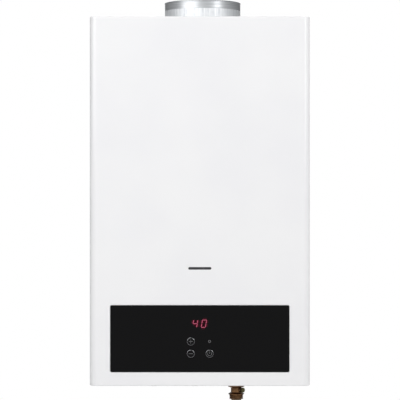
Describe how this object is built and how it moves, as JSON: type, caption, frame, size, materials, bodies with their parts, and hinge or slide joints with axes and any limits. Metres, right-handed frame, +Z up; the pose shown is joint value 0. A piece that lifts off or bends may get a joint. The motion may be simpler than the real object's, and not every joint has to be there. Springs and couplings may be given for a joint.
{
  "type": "tankless gas water heater",
  "caption": "Wall-hung tankless gas water heater: white folded cover, round flue collar, black glass touch-button panel, burner, copper heat exchanger, exhaust fan and gas valve inside.",
  "frame": {"origin": "middle of the back plate's wall face", "axes": "+Z up, +X to the right as seen from the front, +Y into the wall, front faces -Y"},
  "size_m": [0.328, 0.165, 0.609],
  "materials": {
    "white_enamel": "smooth white stove enamel on folded sheet steel",
    "galvanised_steel": "zinc-coated sheet with a soft spangle",
    "polished_steel": "rolled stainless band, polished",
    "screw_steel": "zinc-plated screws",
    "black_glass": "black tempered glass, glossy",
    "sight_glass": "smoked heat-proof glass",
    "button_black": "glossy black buttons with a fine grey ring",
    "indicator_lens": "dark lens",
    "display_red": "dark red display block",
    "circuit_board": "green solder mask",
    "moulded_black": "textured moulded plastic",
    "copper": "drawn copper",
    "brass": "dull cast brass",
    "cast_aluminium": "die-cast aluminium",
    "motor_can": "grey painted can",
    "strainer_grey": "grey moulded strainer",
    "rubber": "black rubber",
    "white_ceramic": "glazed ceramic with steel rods"
  },
  "bodies": {
    "chassis": {"back_plate": "galvanised_steel", "top_plate": "galvanised_steel", "base_plate": "galvanised_steel", "flue_collar": "galvanised_steel", "core_brackets": "galvanised_steel", "panel_brackets": "galvanised_steel", "burner_box": "galvanised_steel", "collector_hood": "galvanised_steel", "fan_scroll": "galvanised_steel", "flue_ring": "polished_steel", "burner_strips": "polished_steel", "chassis_screws": "screw_steel", "glass_panel": "black_glass", "indicator_lens": "indicator_lens", "display_module": "display_red", "display_board": "circuit_board", "main_board": "circuit_board", "control_housing": "moulded_black", "tact_switches": "moulded_black", "igniter_module": "moulded_black", "power_module": "moulded_black", "pressure_switch": "moulded_black", "overheat_thermostat": "moulded_black", "exchanger_shell": "copper", "exchanger_fins": "copper", "exchanger_tube": "copper", "coil_pipe": "copper", "cold_pipe": "copper", "hot_pipe": "copper", "inlet_valve_body": "brass", "hot_outlet_nipple": "brass", "gas_inlet_nipple": "brass", "gas_nozzles": "brass", "outlet_thermistor": "brass", "gas_valve_body": "cast_aluminium", "gas_manifold": "cast_aluminium", "gas_feed_pipe": "cast_aluminium", "fan_motor": "motor_can", "main_solenoid": "motor_can", "modulating_coil": "motor_can", "inlet_filter": "strainer_grey", "flow_sensor_body": "strainer_grey", "cable_grommet": "rubber", "pressure_hose": "rubber", "wiring_loom": "rubber", "electrodes": "white_ceramic"},
    "cover": {"front_cover": "white_enamel", "cover_screws": "screw_steel", "cover_nuts": "screw_steel", "sight_window": "sight_glass", "sight_frame": "galvanised_steel"},
    "plus_button": {"plus_button": "button_black"},
    "minus_button": {"minus_button": "button_black"},
    "power_button": {"power_button": "button_black"},
    "fan_wheel": {"fan_impeller": "screw_steel", "fan_shaft": "screw_steel"},
    "flow_turbine": {"flow_rotor": "strainer_grey"},
    "gas_plunger": {"solenoid_plunger": "screw_steel"},
    "drain_ring": {"drain_seal": "rubber"},
    "drain_knob": {"drain_plug": "brass"}
  },
  "joints": [
    {"name": "cover_pull", "type": "slide", "parent": "chassis", "child": "cover", "axis": [0, -1, 0], "range_m": [0, 0.2]},
    {"name": "plus_press", "type": "slide", "parent": "chassis", "child": "plus_button", "axis": [0, 1, 0], "range_m": [0, 0.0006], "stiffness_N_per_m": 1500},
    {"name": "minus_press", "type": "slide", "parent": "chassis", "child": "minus_button", "axis": [0, 1, 0], "range_m": [0, 0.0006], "stiffness_N_per_m": 1500},
    {"name": "power_press", "type": "slide", "parent": "chassis", "child": "power_button", "axis": [0, 1, 0], "range_m": [0, 0.0006], "stiffness_N_per_m": 1500},
    {"name": "fan_spin", "type": "hinge", "parent": "chassis", "child": "fan_wheel", "pos_m": [-0.0297, -0.079, 0.1885], "axis": [0, 1, 0], "continuous": true},
    {"name": "turbine_spin", "type": "hinge", "parent": "chassis", "child": "flow_turbine", "pos_m": [0.0559, -0.074, -0.217], "axis": [0, 0, 1], "continuous": true},
    {"name": "gas_open", "type": "slide", "parent": "chassis", "child": "gas_plunger", "axis": [0, 1, 0], "range_m": [0, 0.0025], "stiffness_N_per_m": 1200},
    {"name": "drain_travel", "type": "slide", "parent": "chassis", "child": "drain_ring", "axis": [0.7071, -0.7071, 0], "range_m": [0, 0.002]},
    {"name": "drain_turn", "type": "hinge", "parent": "drain_ring", "child": "drain_knob", "pos_m": [0.06354, -0.08164, -0.2893], "axis": [0.7071, -0.7071, 0], "range_deg": [0, 720]}
  ],
  "couplings": [
    {"joint": "drain_turn", "follows": "drain_travel", "rad_per_m": 6283.2}
  ]
}
